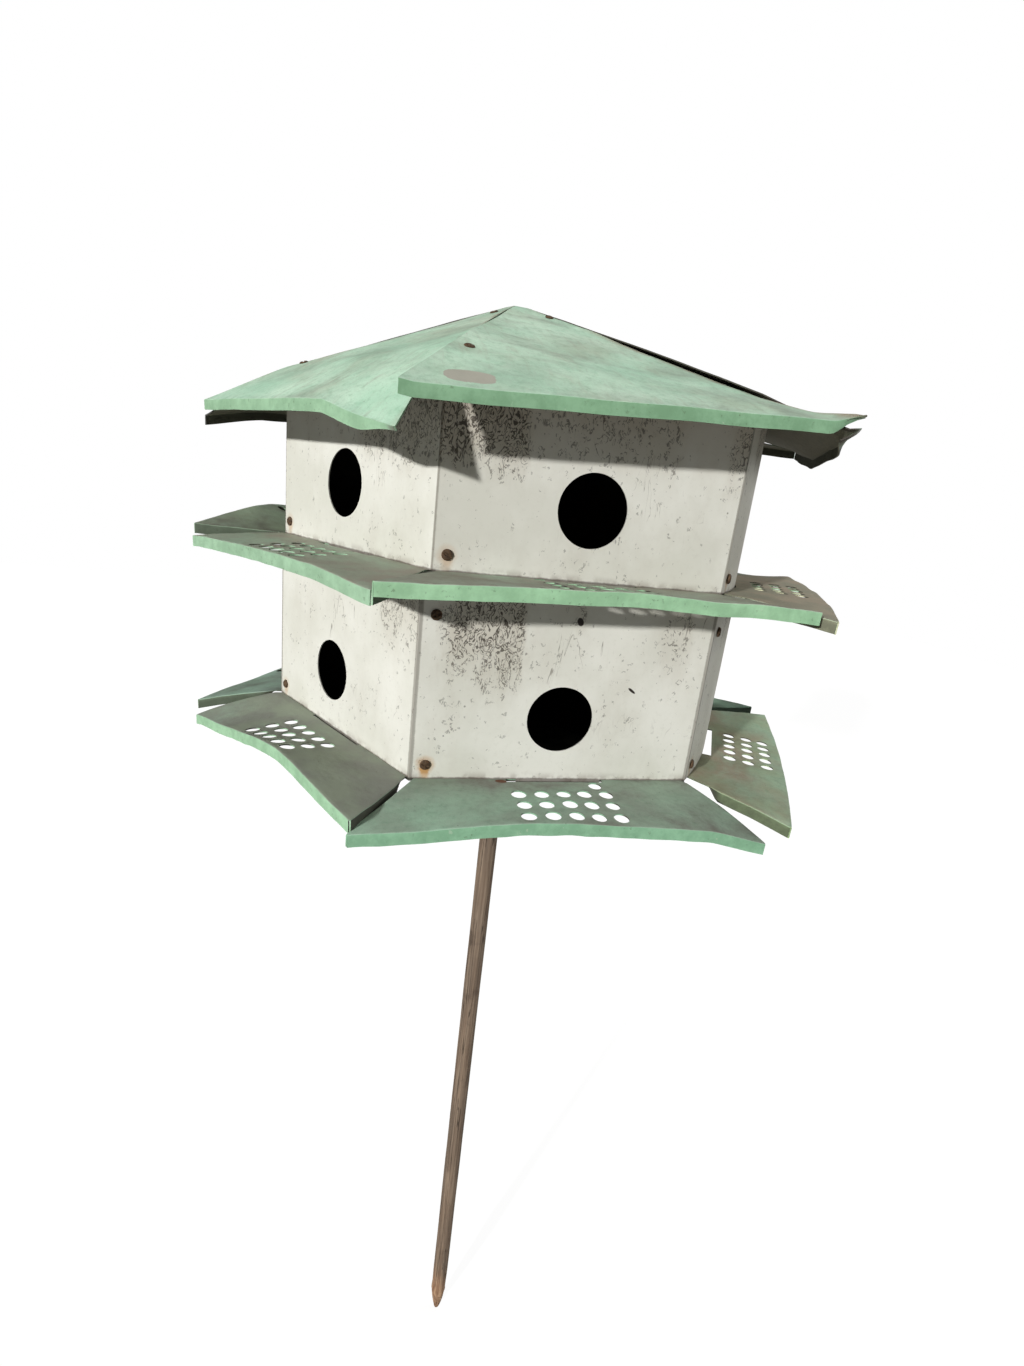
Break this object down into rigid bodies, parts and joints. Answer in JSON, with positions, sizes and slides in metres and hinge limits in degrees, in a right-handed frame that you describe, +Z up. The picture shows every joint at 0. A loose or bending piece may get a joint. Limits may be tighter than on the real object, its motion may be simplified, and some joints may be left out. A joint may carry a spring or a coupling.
{
  "type": "pole-mounted birdhouse",
  "caption": "Two-storey hexagonal sheet-metal birdhouse with round doors, battered porches and a hipped roof, carried on a slim pointed wooden pole.",
  "frame": {"origin": "centre of the blunt flat end of the pole's whittled point", "axes": "+Z up along the pole, -Y towards the front wall and its door, +X to the right seen from the front"},
  "size_m": [0.6569, 0.5662, 1.4045],
  "materials": {
    "white_paint": "chalky off-white paint on thin aluminium sheet, with mildew specks and rust runs",
    "green_paint": "chalky mint-green paint on thin aluminium sheet, grimy on its upper faces",
    "weathered_wood": "bare weathered wood, grey-brown, pale where it was cut to a point",
    "socket_metal": "dull, lightly rusted steel",
    "rusty_screw": "rusty slotted steel screws"
  },
  "bodies": {
    "root": {"pole": "weathered_wood", "pole_socket": "socket_metal", "lower_floor": "green_paint", "upper_floor": "green_paint", "lower_wall_front": "white_paint", "lower_wall_front_right": "white_paint", "lower_wall_back_right": "white_paint", "lower_wall_back": "white_paint", "lower_wall_back_left": "white_paint", "lower_wall_front_left": "white_paint", "upper_wall_front": "white_paint", "upper_wall_front_right": "white_paint", "upper_wall_back_right": "white_paint", "upper_wall_back": "white_paint", "upper_wall_back_left": "white_paint", "upper_wall_front_left": "white_paint", "lower_porch_front": "green_paint", "lower_porch_front_right": "green_paint", "lower_porch_back_right": "green_paint", "lower_porch_back": "green_paint", "lower_porch_back_left": "green_paint", "lower_porch_front_left": "green_paint", "upper_porch_front": "green_paint", "upper_porch_front_right": "green_paint", "upper_porch_back_right": "green_paint", "upper_porch_back": "green_paint", "upper_porch_back_left": "green_paint", "upper_porch_front_left": "green_paint", "roof_front": "green_paint", "roof_front_right": "green_paint", "roof_back_right": "green_paint", "roof_back": "green_paint", "roof_back_left": "green_paint", "roof_front_left": "green_paint", "lower_wall_screws": "rusty_screw", "upper_wall_screws": "rusty_screw", "roof_screws": "rusty_screw"}
  },
  "joints": []
}
